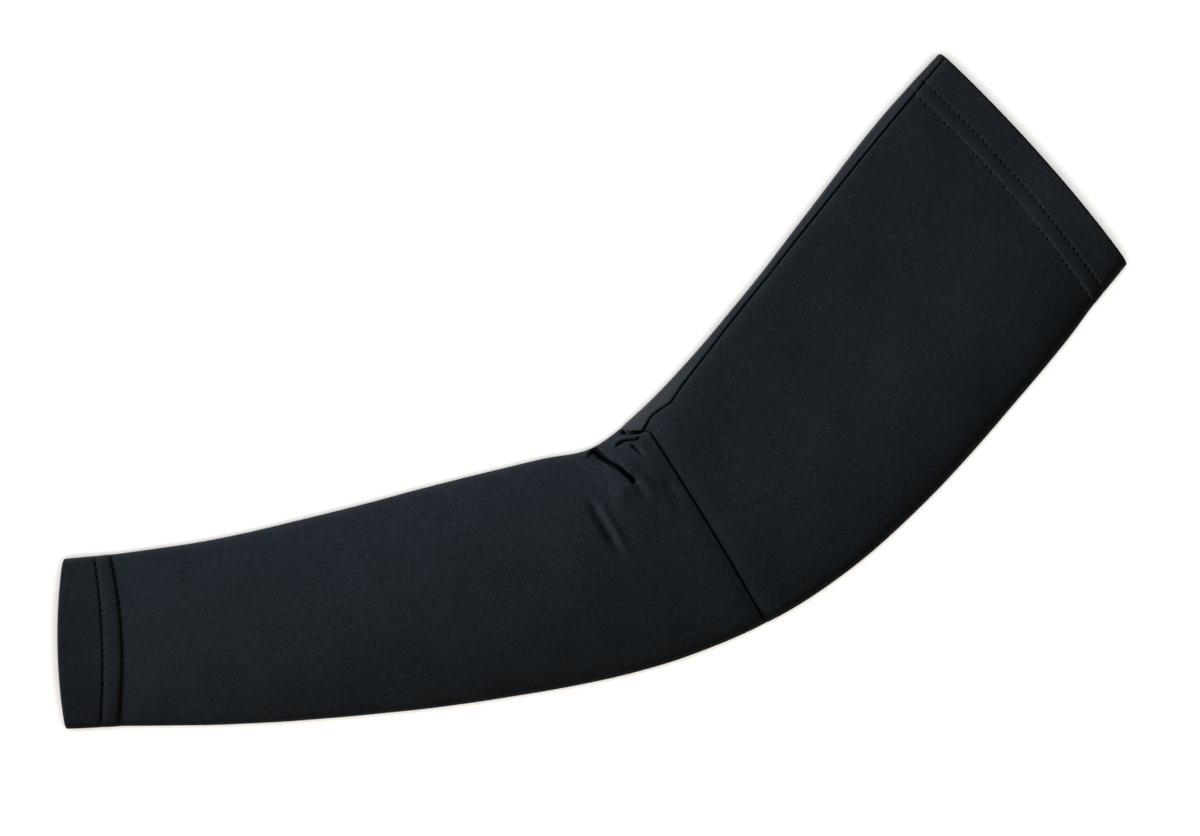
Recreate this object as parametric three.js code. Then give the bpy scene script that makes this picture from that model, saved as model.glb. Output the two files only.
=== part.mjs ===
// Fleece arm warmer: a pre-bent sleeve of fleece-backed stretch knit, lying flat on its side on a table.
// A forearm panel and an upper arm panel, each sewn into a tube, meet at a seam across the elbow.
// Each mouth ends in a hem, the panel's edge turned in and stitched down, so the cloth is doubled there.
// Millimetres, +Z up. +X runs from the wrist to the upper arm and +Y towards the crook of the elbow.
// The origin is under the middle of the sleeve's box, on the table.
import * as THREE from "three";

// Driving dimensions
const CLOTH = 1.6; // one layer of fleece-backed knit
const SEAM_GAP = 0.3; // left between neighbouring pieces
const HEM_LAYERS = 2;
const FOLD_REACH = 5.5; // how far a side fold reaches out past the cloth that lies flat on the table
const FOLD_MIDDLE = 4.5; // height of a side fold's outermost line
const FOLD_CREST = 4.5; // height of a side fold's upper half
const FOLD_ROUNDNESS = 40; // a higher power rounds a smaller share of the upper face into the folds

// How finely the cloth is faceted
const REST_STEPS = 5; // across the flat underside
const SIDE_STEPS = 4; // up the lower half of each side fold
const CROWN_STEPS = 28; // over the upper face
const RIM_STEPS = 4; // round the turned edge of a hem
const PLAIN_STEP = 13; // along smooth cloth
const CREASED_STEP = 3.2; // along the cloth that bunches in the crook
const HEM_STEPS = 2;

// A row for each section of the sleeve as it lies, from the wrist to the upper arm.
// inner and outer: [x, y] of the side folds on the crook's side and on the elbow's side
// height: how thick the sleeve lies there
// bow: how far the middle of the section leads its ends, towards the upper arm
// arch: a power for the upper face's inner and outer half, where 2 arches evenly and more stays flat longer
const SECTIONS = [
  { place: "wrist edge", inner: [-244, 105], outer: [-275, 42], height: 13.6, bow: -2.5, arch: [2.4, 2.4] },
  { place: "wrist hem", inner: [-225, 97.5], outer: [-254.5, 32.5], height: 14.2, bow: 3.6, arch: [2.2, 2.2] },
  { place: "low forearm", inner: [-186.5, 84.5], outer: [-217, 14], height: 16.8, bow: 1, arch: [2, 2.3] },
  { place: "mid forearm", inner: [-137, 72], outer: [-167, -7.5], height: 19, bow: 0, arch: [2, 2.4] },
  { place: "full forearm", inner: [-86.5, 61], outer: [-113, -27.5], height: 20, bow: 0, arch: [2, 2.4] },
  { place: "high forearm", inner: [-49, 52], outer: [-68.5, -41], height: 19.2, bow: 0, arch: [2.2, 2.3] },
  { place: "crook", inner: [-28, 46.5], outer: [-35, -48], height: 17.8, bow: 0, arch: [3, 2.1] },
  { place: "elbow seam", inner: [-4, 51], outer: [4, -51], height: 16, bow: 1, arch: [7, 2] },
  { place: "above elbow", inner: [25, 61], outer: [39.5, -48], height: 14.9, bow: 1, arch: [20, 2.4] },
  { place: "low upper arm", inner: [61.5, 76.5], outer: [88, -35.5], height: 14.3, bow: 1, arch: [30, 3.2] },
  { place: "high upper arm", inner: [135, 111.5], outer: [167.5, -3.5], height: 13.9, bow: 2, arch: [30, 3.4] },
  { place: "upper hem", inner: [156, 120], outer: [184.3, 4.7], height: 13.7, bow: 3.4, arch: [30, 3.4] },
  { place: "upper edge", inner: [175, 127], outer: [205, 14], height: 13.6, bow: 2.5, arch: [30, 3.4] },
];

// A row for each crease where the cloth bunches in the crook of the elbow.
// from and to: [x, y] of its two ends, the deep end first; depth: at its deep end; halfWidth: of the dip
const CREASES = [
  { name: "main crease", from: [-29, 45], to: [-14, 19], depth: 5.5, halfWidth: 3.5 },
  { name: "long soft dip", from: [-39, 27], to: [-37, -4], depth: 2.2, halfWidth: 4.5 },
  { name: "dip beside seam", from: [-9, 34], to: [-5, 6], depth: 1.6, halfWidth: 4 },
  { name: "upper pleat", from: [-15, 48], to: [-6, 42], depth: 4, halfWidth: 2.8 },
];

const sectionAt = (place) => SECTIONS.findIndex((section) => section.place === place);

// The smooth course of one column of the section table, at a place between its rows.
function smoothColumn(rows) {
  const points = rows.map((row) => new THREE.Vector3(...row));
  const curve = new THREE.CatmullRomCurve3(points, false, "centripetal");
  return (at) => curve.getPoint(at / (points.length - 1));
}

const innerFold = smoothColumn(SECTIONS.map(({ inner }) => [...inner, 0]));
const outerFold = smoothColumn(SECTIONS.map(({ outer }) => [...outer, 0]));
const lie = smoothColumn(SECTIONS.map(({ height, bow }, row) => [row, height, bow]));
const archPowers = smoothColumn(SECTIONS.map(({ arch }, row) => [row, ...arch]));

// One section's outline, anticlockwise from the inner end of the flat underside, as points with
// across: from the middle towards the outer fold, up: above the table, inward: the way into the sleeve,
// and creased: how fully the creases show there, which is on the upper face alone.
function sectionOutline(width, height, arch) {
  const half = width / 2;
  const rest = half - FOLD_REACH;
  const rise = height - FOLD_MIDDLE - FOLD_CREST;
  const points = [];
  for (let i = 0; i < REST_STEPS; i++) points.push([-rest + (2 * rest * i) / REST_STEPS, 0]);
  for (let i = 0; i < SIDE_STEPS; i++) {
    const turn = (Math.PI / 2) * (i / SIDE_STEPS);
    points.push([rest + FOLD_REACH * Math.sin(turn), FOLD_MIDDLE * (1 - Math.cos(turn))]);
  }
  for (let i = 0; i < CROWN_STEPS; i++) {
    const side = Math.cos((Math.PI * i) / CROWN_STEPS);
    const arched = 1 - Math.abs(side) ** (side < 0 ? arch.inner : arch.outer);
    const rounded = Math.sqrt(1 - Math.abs(side) ** FOLD_ROUNDNESS);
    points.push([half * side, FOLD_MIDDLE + (FOLD_CREST + rise * arched) * rounded]);
  }
  for (let i = 0; i < SIDE_STEPS; i++) {
    const turn = (Math.PI / 2) * (1 - i / SIDE_STEPS);
    points.push([-rest - FOLD_REACH * Math.sin(turn), FOLD_MIDDLE * (1 - Math.cos(turn))]);
  }
  return points.map(([across, up], i) => {
    const [beforeAcross, beforeUp] = points.at(i - 1);
    const [afterAcross, afterUp] = points[(i + 1) % points.length];
    const inward = new THREE.Vector2(beforeUp - afterUp, afterAcross - beforeAcross).normalize();
    const creased = THREE.MathUtils.smoothstep(up, FOLD_MIDDLE, FOLD_MIDDLE + FOLD_CREST + rise * 0.4);
    return { across, up, inward, creased };
  });
}

// How far the creases in the crook press the cloth in at a place seen from above.
function creaseDepth(x, y) {
  const here = new THREE.Vector3(x, y, 0);
  let depth = 0;
  for (const crease of CREASES) {
    const line = new THREE.Line3(new THREE.Vector3(...crease.from, 0), new THREE.Vector3(...crease.to, 0));
    const along = line.closestPointToPointParameter(here, true);
    const away = line.at(along, new THREE.Vector3()).distanceTo(here) / crease.halfWidth;
    depth += crease.depth * (1 - along) * Math.exp(-away * away);
  }
  return depth;
}

// The closed ring of cloth at one section, inset from the outer face and shifted along the arm.
function ring(at, inset = 0, shift = 0) {
  const start = innerFold(at);
  const end = outerFold(at);
  const { y: height, z: bow } = lie(at);
  const { y: innerArch, z: outerArch } = archPowers(at);
  const width = start.distanceTo(end);
  const outward = end.clone().sub(start).normalize();
  const forward = new THREE.Vector3(-outward.y, outward.x, 0);
  const middle = start.clone().add(end).multiplyScalar(0.5);
  const outline = sectionOutline(width, height, { inner: innerArch, outer: outerArch });
  return outline.map(({ across, up, inward, creased }) => {
    const lead = shift + bow * (1 - ((2 * across) / width) ** 2);
    const point = middle.clone().addScaledVector(outward, across).addScaledVector(forward, lead);
    const pressed = inset + creased * creaseDepth(point.x, point.y);
    point.addScaledVector(outward, inward.x * pressed);
    point.z = up + inward.y * pressed;
    return point;
  });
}

// A closed skin over rings that follow each other round a wall: out along its outer face and back inside.
function wallGeometry(rings) {
  const round = rings[0].length;
  const index = [];
  rings.forEach((_, i) => {
    const next = (i + 1) % rings.length;
    for (let k = 0; k < round; k++) {
      const a = i * round + k;
      const b = i * round + ((k + 1) % round);
      const c = next * round + ((k + 1) % round);
      const d = next * round + k;
      index.push(a, c, b, a, d, c);
    }
  });
  const geometry = new THREE.BufferGeometry().setFromPoints(rings.flat());
  geometry.setIndex(index);
  geometry.computeVertexNormals();
  return geometry;
}

// Places between two rows of the section table, close together where the cloth is creased.
function placesBetween(from, to) {
  const places = [from];
  while (places.at(-1) < to) {
    const at = places.at(-1);
    const middle = innerFold(at).add(outerFold(at)).multiplyScalar(0.5);
    const ahead = innerFold(at + 0.1).add(outerFold(at + 0.1)).multiplyScalar(0.5);
    const bunched = at > sectionAt("high forearm") - 0.3 && at < sectionAt("elbow seam");
    const step = bunched ? CREASED_STEP : PLAIN_STEP;
    places.push(at + (0.1 * step) / ahead.distanceTo(middle));
  }
  const stretch = (to - from) / (places.at(-1) - from);
  return places.map((at) => from + (at - from) * stretch);
}

// A single layer of cloth sewn into a tube, between two rows of the section table.
function panelGeometry(fromPlace, toPlace) {
  const places = placesBetween(sectionAt(fromPlace), sectionAt(toPlace));
  const shift = (i) => (i === 0 ? SEAM_GAP / 2 : i === places.length - 1 ? -SEAM_GAP / 2 : 0);
  const outside = places.map((at, i) => ring(at, 0, shift(i)));
  const inside = places.map((at, i) => ring(at, CLOTH, shift(i)));
  return wallGeometry([...outside, ...inside.reverse()]);
}

// A hem: doubled cloth from its stitched edge to the mouth, with a round turned edge there.
// way is 1 where the mouth lies ahead of the stitching and -1 where it lies behind it.
function hemGeometry(stitchedPlace, edgePlace, way) {
  const stitched = sectionAt(stitchedPlace);
  const edge = sectionAt(edgePlace);
  const thickness = HEM_LAYERS * CLOTH;
  const turn = thickness / 2;
  const leg = (inset) =>
    Array.from({ length: HEM_STEPS + 1 }, (_, i) => {
      const share = i / HEM_STEPS;
      const shift = way * ((SEAM_GAP / 2) * (1 - share) - turn * share);
      return ring(stitched + (edge - stitched) * share, inset, shift);
    });
  const rim = Array.from({ length: RIM_STEPS - 1 }, (_, i) => {
    const angle = (Math.PI * (i + 1)) / RIM_STEPS;
    return ring(edge, turn - turn * Math.cos(angle), way * turn * (Math.sin(angle) - 1));
  });
  const rings = [...leg(0), ...rim, ...leg(thickness).reverse()];
  return wallGeometry(way > 0 ? rings : rings.reverse());
}

const knit = new THREE.MeshStandardMaterial({ color: 0x1b1f22, roughness: 0.92, metalness: 0 });
knit.name = "black_fleece_knit";
const hemKnit = knit.clone();
hemKnit.name = "black_fleece_hem";

const sleeve = new THREE.Group();
const addPiece = (name, geometry, material) => {
  const piece = new THREE.Mesh(geometry, material);
  piece.name = name;
  sleeve.add(piece);
};
addPiece("wrist_hem", hemGeometry("wrist hem", "wrist edge", -1), hemKnit);
addPiece("forearm_panel", panelGeometry("wrist hem", "elbow seam"), knit);
addPiece("upper_arm_panel", panelGeometry("elbow seam", "upper hem"), knit);
addPiece("upper_hem", hemGeometry("upper hem", "upper edge", 1), hemKnit);

const middle = new THREE.Box3().setFromObject(sleeve).getCenter(new THREE.Vector3());
sleeve.position.set(-middle.x, -middle.y, 0);

const armWarmer = new THREE.Group();
armWarmer.add(sleeve);

export default armWarmer;
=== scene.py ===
# Fleece arm warmer: a pre-bent sleeve of black fleece-backed knit, lying on its side, seen from above.
# The cloth is made again here, finer than the frame's solids: two panels sewn into tubes, two stitched
# hems, the seams between them and the folds that bunch in the crook of the elbow.
# Tables and sizes are in millimetres, measured from the middle of the elbow seam; the meshes are in metres.
from collections import namedtuple
from math import cos, pi, radians, sin, tau

import bpy
import numpy as np
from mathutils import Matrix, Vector


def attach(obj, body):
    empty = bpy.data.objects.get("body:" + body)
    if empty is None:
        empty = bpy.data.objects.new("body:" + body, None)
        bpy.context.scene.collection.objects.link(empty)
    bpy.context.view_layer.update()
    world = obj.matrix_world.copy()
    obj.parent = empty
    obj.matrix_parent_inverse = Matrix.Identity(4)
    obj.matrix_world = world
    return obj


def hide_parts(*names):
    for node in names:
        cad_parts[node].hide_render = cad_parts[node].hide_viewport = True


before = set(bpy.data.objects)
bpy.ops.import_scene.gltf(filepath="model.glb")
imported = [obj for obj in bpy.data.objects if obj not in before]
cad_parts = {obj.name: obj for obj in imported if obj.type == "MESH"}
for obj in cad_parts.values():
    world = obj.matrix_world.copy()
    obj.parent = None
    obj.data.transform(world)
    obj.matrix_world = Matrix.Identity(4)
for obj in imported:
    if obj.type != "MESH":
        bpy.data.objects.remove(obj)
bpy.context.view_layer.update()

MM = 0.001

# Cloth
CLOTH = 1.6  # one layer of fleece-backed knit
HEM_CLOTH = 2 * CLOTH
FOLD_REACH = 5.5  # how far a side fold reaches out past the cloth that lies flat on the table
FOLD_MIDDLE = 4.5  # height of a side fold's outermost line
FOLD_CREST = 4.5  # height of a side fold's upper half
FOLD_ROUNDNESS = 40  # a higher power rounds a smaller share of the upper face into the folds
UPPER_FACE_HEIGHTS = (1.5, 10.0)  # where the upper face's forms begin on a side fold and are full
HIDDEN_SHARE = 0.1  # of a groove or a rise, left at the outline and on the underside
WAVE_LENGTHS = (70, 52, 38, 27)  # of the slight unevenness of loose cloth
WAVE_STEEPNESS = 0.0022  # a wave's height for its length
WRIST_WAVES = 3  # a seed; a panel and its hem share one, so that they meet
UPPER_WAVES = 5
LINING_SHARE = 0.6  # of a groove in the outer face, that shows in the inner face
LINING_SPREAD = 1.7  # how much wider a crease is in the inner face

# Seams
SEAM_ROLL = 1.0  # width of the forearm's edge that rolls under the upper arm's at the elbow seam
SEAM_DEPTH = 1.6  # how far down that edge rolls
SEAM_ROUNDNESS = 1.5  # power of that roll; 1 is straight
SEAM_PULL = 0.4  # how far the seam draws in the cloth beside it
SEAM_PULL_REACH = 3.5
SEAM_ALLOWANCE = 6.0  # width of the cloth turned in behind the elbow seam
ALLOWANCE_EDGE = 1.5  # over which the turned-in cloth ends
ELBOW_SWING = 0.37  # how far the elbow seam swings towards the forearm at the inner fold, in sections
ELBOW_SWING_FROM = 0.8  # share of the upper face's inner half that it keeps straight
ELBOW_SWING_UNDER = 0.35  # share of the underside over which it swings back
CLOSING_DEPTH = 1.4  # of the closing seam's groove
CLOSING_WIDTH = 0.31
STRIP_EDGE = (0.3, 1.3)  # from the closing seam, where the narrow strip beyond it begins and is full
STRIP_FOOT = 2.0  # height at which the strip ends, low on the side fold
STRIP_SLOPE = 0.5  # of the strip, which falls evenly to the side fold
CROOK_STRIP_SLOPE = 1.0  # of its end in the crook
CROOK_STRIP_SHARE = 0.35  # of the closing seam, over which the one slope passes into the other
STRIP_HIGHLIGHT = 0.3  # how strongly the painted highlight lies on the strip; in the crook it is full
CROOK_HIGHLIGHT_SHARE = 0.22  # of the closing seam, over which the painted highlight fades from full to the strip's share

# Hems
STRIP_COVERS = 0.8  # how much of the stitch rows' grooves is lost on the strip
HEM_RISE = 0.25  # the doubled cloth stands prouder than the panel beside it
HEM_RISE_REACH = 3.0
RIM_BULGE = 0.8  # how far the turned edge rounds out past the flat cloth
MOUTH_FLARE = 1.4  # how far a hem's upper face rises towards its mouth
PANEL_DIP = 0.35  # how much lower the panel lies beside a hem
PANEL_DIP_REACH = 9.0
PANEL_EDGE_REACH = 3.5  # over which its stitched edge goes down into the inner row's groove
STITCH_INSET = 0.5  # the inner stitch row, from the panel's edge
WRIST_EDGE_ROW = 0.325  # the outer stitch row, from the panel's edge, as a share of the hem's depth
UPPER_EDGE_ROW = 0.33
INNER_ROW_GROOVE = 0.45
INNER_ROW_REACH = 0.8
EDGE_ROW_GROOVE = 0.32
EDGE_ROW_REACH = (0.65, 1.5)  # towards the mouth and towards the panel
STITCH_PITCH = 2.8
STITCH_GAP = 1.0  # from one stitch's end to the next one's start
STITCH_UNEVENNESS = 0.08
STITCH_SEED = 7
STITCH_SINK = 2.5  # how far a stitch's ends go into the cloth, in thread radii
STITCH_BOW = 1.8  # how far its middle is drawn up, in thread radii
STITCH_SIDES = 6  # round the thread, and lengths along a stitch
THREAD_RADIUS = 0.2
NEEDLE_DIP = 0.9  # depth of the hole that the needle pulls
NEEDLE_REACH = 0.36
NEEDLE_PULL = (0.35, 1.25)  # the least and the most of that depth, from hole to hole
NEEDLE_SEEDS = (11, 12)

# How finely the cloth is drawn
FINE_STEP = 0.4  # along the bunched cloth
PLAIN_STEP = 2.4  # along smooth cloth
STEP_GROWTH = 0.15  # how fast the steps widen from the bunched cloth
EDGE_RINGS = np.array([0, 0.1, 0.25, 0.45, 0.7, 1.0, 1.4, 1.9, 2.5, 3.2, 4.0])  # beside a panel's edge
FOREARM_FINE = (-48, 0)  # the crook, counted from the elbow seam
UPPER_ARM_FINE = (0, 16)  # the start of the closing seam
HEM_STEP = 1.5  # along a hem
HEM_ROUND_STEP = 0.4  # round a hem, fine enough for its needle holes
ROW_RINGS = np.array([0, 0.2, 0.4, 0.65, 0.95, 1.4, 2.0])  # beside a stitch row
RIM_STEPS = 10  # round a turned edge
HEM_LINING_RINGS = 14  # on a hem's inner face
COURSE_STEPS = 8  # for each point of a course
PANEL_LENGTH_STEPS = 60  # enough to measure a length or a girth
HEM_LENGTH_STEPS = 40
GIRTH_STEPS = 6000

# Places round a panel, numbered as in lying_face: from, to and count.
PANEL_TURNS = [
    (0, 1, 24),  # the underside
    (1, 2, 8),  # the outer fold's lower half
    (2, 2.5, 44),  # the upper face's outer half
    (2.5, 3, 150),  # its inner half, with the bunched folds and the closing seam
    (3, 4, 10),  # the inner fold's lower half
]

# A row for each section of the sleeve as it lies, from the wrist to the upper arm.
# inner and outer: the side folds on the crook's side and on the elbow's side
# height: how thick the sleeve lies; bow: how far the section's middle leads its ends, towards the upper arm
# inner_arch, outer_arch: a power for each half of the upper face; 2 arches evenly, more stays flat longer
Section = namedtuple("Section", "place inner outer height bow inner_arch outer_arch")
SECTIONS = [
    Section("wrist edge", (-244, 105), (-275, 42), 13.6, -2.5, 2.4, 2.4),
    Section("wrist hem", (-225, 97.5), (-254.5, 32.5), 14.2, 3.6, 2.2, 2.2),
    Section("low forearm", (-186.5, 84.5), (-217, 14), 16.8, 1, 2, 2.3),
    Section("mid forearm", (-137, 72), (-167, -7.5), 19, 0, 2, 2.4),
    Section("full forearm", (-86.5, 61), (-113, -27.5), 20, 0, 2, 2.4),
    Section("high forearm", (-49, 52), (-68.5, -41), 19.2, 0, 2.2, 2.3),
    Section("crook", (-28, 46.5), (-35, -48), 17.8, 0, 3, 2.1),
    Section("elbow seam", (-4, 51), (4, -51), 16, 1, 7, 2),
    Section("above elbow", (25, 61), (39.5, -48), 14.9, 1, 20, 2.4),
    Section("low upper arm", (61.5, 76.5), (88, -35.5), 14.3, 1, 30, 3.2),
    Section("high upper arm", (135, 111.5), (167.5, -3.5), 13.9, 2, 30, 3.4),
    Section("upper hem", (156, 120), (184.3, 4.7), 13.7, 3.4, 30, 3.4),
    Section("upper edge", (175, 127), (205, 14), 13.6, 2.5, 30, 3.4),
]

# The closing seam along the upper arm, from the elbow seam to the upper mouth, seen from above.
CLOSING_SEAM = [
    (-7, 42), (-3.7, 44.6), (0.3, 47.1), (5, 48), (9.9, 48.7), (18, 53), (36.4, 61.8),
    (80, 81.8), (125.6, 102.5), (156.7, 116), (174.1, 123.6), (186, 129),
]

# A row for each fold in the bunched cloth of the crook, seen from above.
# path: the crease's course; depth: of the crease; slope: how far the cloth to the right of the course
# slopes down into it, at the course's start and end; wall: how far the cloth to the left does, under the
# lip; start and end: shares of the course that deepen and fade it;
# steep: over 1 the slope ends in a flat floor before the course;
# lip, lip_at, lip_reach: height, place and reach of the fold that stands on the left;
# lean: how far that fold leans over the crease
Fold = namedtuple(
    "Fold",
    "path depth slope wall start end steep lip lip_at lip_reach lean",
    defaults=(1.0, 0.0, 1.0, 1.0, 0.0),
)
FOLDS = [
    # main crease
    Fold(
        path=[
            (-26.6, 47.0), (-25.3, 44.0), (-24.0, 41.2), (-22.2, 38.2),
            (-20.1, 35.1), (-18.7, 31.2), (-17.7, 27.9), (-17.3, 24.4),
        ],
        depth=12.0, slope=(3.4, 2.2), wall=0.6, start=0.4, end=0.3,
        steep=1.7, lip=0.7, lip_at=2.4, lip_reach=2.0, lean=1.5,
    ),
    # hollow beside the main crease
    Fold(
        path=[(-27.4, 47.4), (-25.6, 44.0), (-24.1, 41.0), (-22.2, 37.6)],
        depth=5.0, slope=(6.0, 4.4), wall=0.6, start=0.18, end=0.6,
    ),
    # the main crease's soft end
    Fold(
        path=[(-18.6, 29), (-17.7, 24.6), (-17.4, 20.8), (-17.2, 14)],
        depth=0.5, slope=(2.4, 2.4), wall=1.6, start=0.3, end=0.6,
        lip=0.5, lip_at=3.4, lip_reach=2.0,
    ),
    # tucked roll
    Fold(
        path=[(-19.5, 41.8), (-16.9, 43.1), (-13.7, 42.9), (-11.0, 41.8), (-8.6, 40.4)],
        depth=2.2, slope=(0.9, 0.9), wall=0.5, start=0.3, end=0.2,
        lip=1.6, lip_at=1.7, lip_reach=0.9, lean=0.5,
    ),
    # gap under the strip
    Fold(
        path=[(-13.9, 49.3), (-12.8, 47.5), (-10.4, 45.9), (-8.5, 44.9), (-6.5, 43.9), (-4.7, 43.0)],
        depth=5.0, slope=(2.4, 1.6), wall=0.9, start=0.35, end=0.25, steep=2.5,
    ),
    # short crease
    Fold(
        path=[(-13.0, 41), (-11.3, 37.7), (-9.8, 33.4)],
        depth=1.6, slope=(1.3, 1.2), wall=0.9, start=0.3, end=0.5,
        lip=0.4, lip_at=1.9, lip_reach=1.4,
    ),
    # long soft dip
    Fold(
        path=[(-38.4, 30), (-37.8, 19.5), (-37.2, 10.6), (-36.4, -1)],
        depth=1.5, slope=(3.0, 3.2), wall=1.5, start=0.25, end=0.4,
        lip=0.6, lip_at=2.8, lip_reach=1.7,
    ),
    # dip beside the seam
    Fold(
        path=[(-7.2, 27), (-6.3, 14.6), (-5.4, 2)],
        depth=0.7, slope=(4.5, 3.5), wall=2.6, start=0.45, end=0.5,
    ),
]

BROW_AT = 1.6  # a leaning fold's brow, in reaches of its wall
LEAN_REACH = 4.0  # how far behind its brow a leaning fold is pulled along
CREASE_FLOOR = 5.0  # no crease goes lower, which keeps it off the underside

# The soft swelling under the main crease
SWELLING_AT = (-25.2, 24.2)
SWELLING_HEIGHT = 0.9
SWELLING_REACH = 4.0


# The sleeve as it lies


def place(name):
    """The row number of a section, which is how far along the sleeve it is."""
    return [section.place for section in SECTIONS].index(name)


def smooth_course(points):
    """A smooth curve through points, as a function of the row number. It makes no loops at close points."""
    points = np.asarray(points, float)
    ends = np.vstack([2 * points[0] - points[1], points, 2 * points[-1] - points[-2]])
    gaps = np.sqrt(np.linalg.norm(np.diff(ends, axis=0), axis=1))[:, None]
    before, here, after = gaps[:-2], gaps[1:-1], gaps[2:]
    p0, p1, p2, p3 = ends[:-3], ends[1:-2], ends[2:-1], ends[3:]
    leave = here * ((p1 - p0) / before - (p2 - p0) / (before + here) + (p2 - p1) / here)
    arrive = here * ((p2 - p1) / here - (p3 - p1) / (here + after) + (p3 - p2) / after)

    def course(at):
        row = np.clip(np.floor(at).astype(int), 0, len(points) - 2)
        w = (at - row)[..., None]
        w2, w3 = w**2, w**3
        return (
            (2 * w3 - 3 * w2 + 1) * p1[row]
            + (w3 - 2 * w2 + w) * leave[row]
            + (3 * w2 - 2 * w3) * p2[row]
            + (w3 - w2) * arrive[row]
        )

    return course


inner_fold = smooth_course([section.inner for section in SECTIONS])
outer_fold = smooth_course([section.outer for section in SECTIONS])
lie = smooth_course([(row, s.height, s.bow) for row, s in enumerate(SECTIONS)])
arches = smooth_course([(row, s.inner_arch, s.outer_arch) for row, s in enumerate(SECTIONS)])


def smoothstep(value, low, high):
    """0 up to low, 1 from high, and a smooth rise between them."""
    share = np.clip((value - low) / (high - low), 0, 1)
    return share * share * (3 - 2 * share)


def bell(away, reach):
    """1 in the middle, fading smoothly to a third at reach and to nothing beyond."""
    return np.exp(-((away / reach) ** 2))


def forward_at(at):
    """The way along the sleeve, square to its section."""
    outward = outer_fold(at) - inner_fold(at)
    outward /= np.linalg.norm(outward, axis=-1, keepdims=True)
    return np.stack([-outward[..., 1], outward[..., 0], np.zeros_like(outward[..., 0])], -1)


def lying_face(at, turn):
    """Points of the plain outer face. at is the place along the sleeve and turn the place round it:
    0 to 1 along the underside from the inner side, 1 to 2 up the outer fold's lower half,
    2 to 3 over the upper face and 3 to 4 down the inner fold's lower half."""
    at, turn = np.broadcast_arrays(at, turn)
    inner, outer = inner_fold(at), outer_fold(at)
    width = np.linalg.norm(outer - inner, axis=-1)
    outward = (outer - inner) / width[..., None]
    height, bow = lie(at)[..., 1], lie(at)[..., 2]
    half = width / 2
    rest = half - FOLD_REACH
    rise = height - FOLD_MIDDLE - FOLD_CREST
    part = np.floor(turn)
    share = turn - part
    side = np.cos(pi * share)
    arch = np.where(side < 0, arches(at)[..., 1], arches(at)[..., 2])
    rounded = np.sqrt(1 - np.abs(side) ** np.maximum(FOLD_ROUNDNESS, 2 * arch))
    crown = FOLD_MIDDLE + (FOLD_CREST + rise * (1 - np.abs(side) ** arch)) * rounded
    out_turn, in_turn = share * pi / 2, (1 - share) * pi / 2
    parts = [part == 0, part == 1, part == 2, part == 3]
    across = np.select(
        parts,
        [
            rest * (2 * share - 1),
            rest + FOLD_REACH * np.sin(out_turn),
            half * side,
            -rest - FOLD_REACH * np.sin(in_turn),
        ],
    )
    up = np.select(
        parts,
        [
            np.zeros_like(share),
            FOLD_MIDDLE * (1 - np.cos(out_turn)),
            crown,
            FOLD_MIDDLE * (1 - np.cos(in_turn)),
        ],
    )
    lead = bow * (1 - (across / half) ** 2)
    flat = (inner + outer) / 2 + outward * across[..., None] + forward_at(at)[..., :2] * lead[..., None]
    return np.concatenate([flat, up[..., None]], -1)


def outward_normals(points):
    """Normals of a grid of rings, pointing out of the sleeve."""
    round_way = np.roll(points, -1, axis=1) - np.roll(points, 1, axis=1)
    along_way = np.gradient(points, axis=0)
    normals = np.cross(round_way, along_way)
    normals /= np.linalg.norm(normals, axis=-1, keepdims=True)
    outwards = points - points.mean(axis=1, keepdims=True)
    return normals * np.sign((normals * outwards).sum())


def run_along(points):
    """How far each point lies along its own column from the grid's first ring."""
    steps = np.linalg.norm(np.diff(points, axis=0), axis=-1)
    return np.vstack([np.zeros((1, points.shape[1])), np.cumsum(steps, axis=0)])


def run_round(points):
    """How far each point of a ring lies round it, with the full girth as one more entry."""
    steps = np.linalg.norm(np.roll(points, -1, axis=0) - points, axis=-1)
    return np.concatenate([[0], np.cumsum(steps)])


# Folds and seams


def from_path(flat, path):
    """For places seen from above: distance to the left of a smooth path, the share of it passed
    and the way to its left."""
    course = smooth_course(path)
    line = course(np.linspace(0, len(path) - 1, COURSE_STEPS * len(path)))
    start, way = line[:-1], np.diff(line, axis=0)
    length = np.linalg.norm(way, axis=1)
    passed = np.concatenate([[0], np.cumsum(length)])
    left_ways = np.stack([-way[:, 1], way[:, 0]], -1) / length[:, None]
    nearest = np.full(flat.shape[:-1], np.inf)
    away, share = np.zeros_like(nearest), np.zeros_like(nearest)
    left = np.zeros(flat.shape[:-1] + (3,))
    for i in range(len(way)):
        rel = flat - start[i]
        along = np.clip((rel @ way[i]) / length[i] ** 2, 0, 1)
        gap = np.linalg.norm(rel - along[..., None] * way[i], axis=-1)
        nearer = gap < nearest
        nearest = np.where(nearer, gap, nearest)
        away = np.where(nearer, gap * np.sign(rel @ left_ways[i]), away)
        share = np.where(nearer, (passed[i] + along * length[i]) / passed[-1], share)
        left[nearer] = (*left_ways[i], 0)
    return away, share, left


def on_upper_face(points):
    """1 on the upper face, fading to 0 down the side folds."""
    return smoothstep(points[..., 2], *UPPER_FACE_HEIGHTS)


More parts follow.
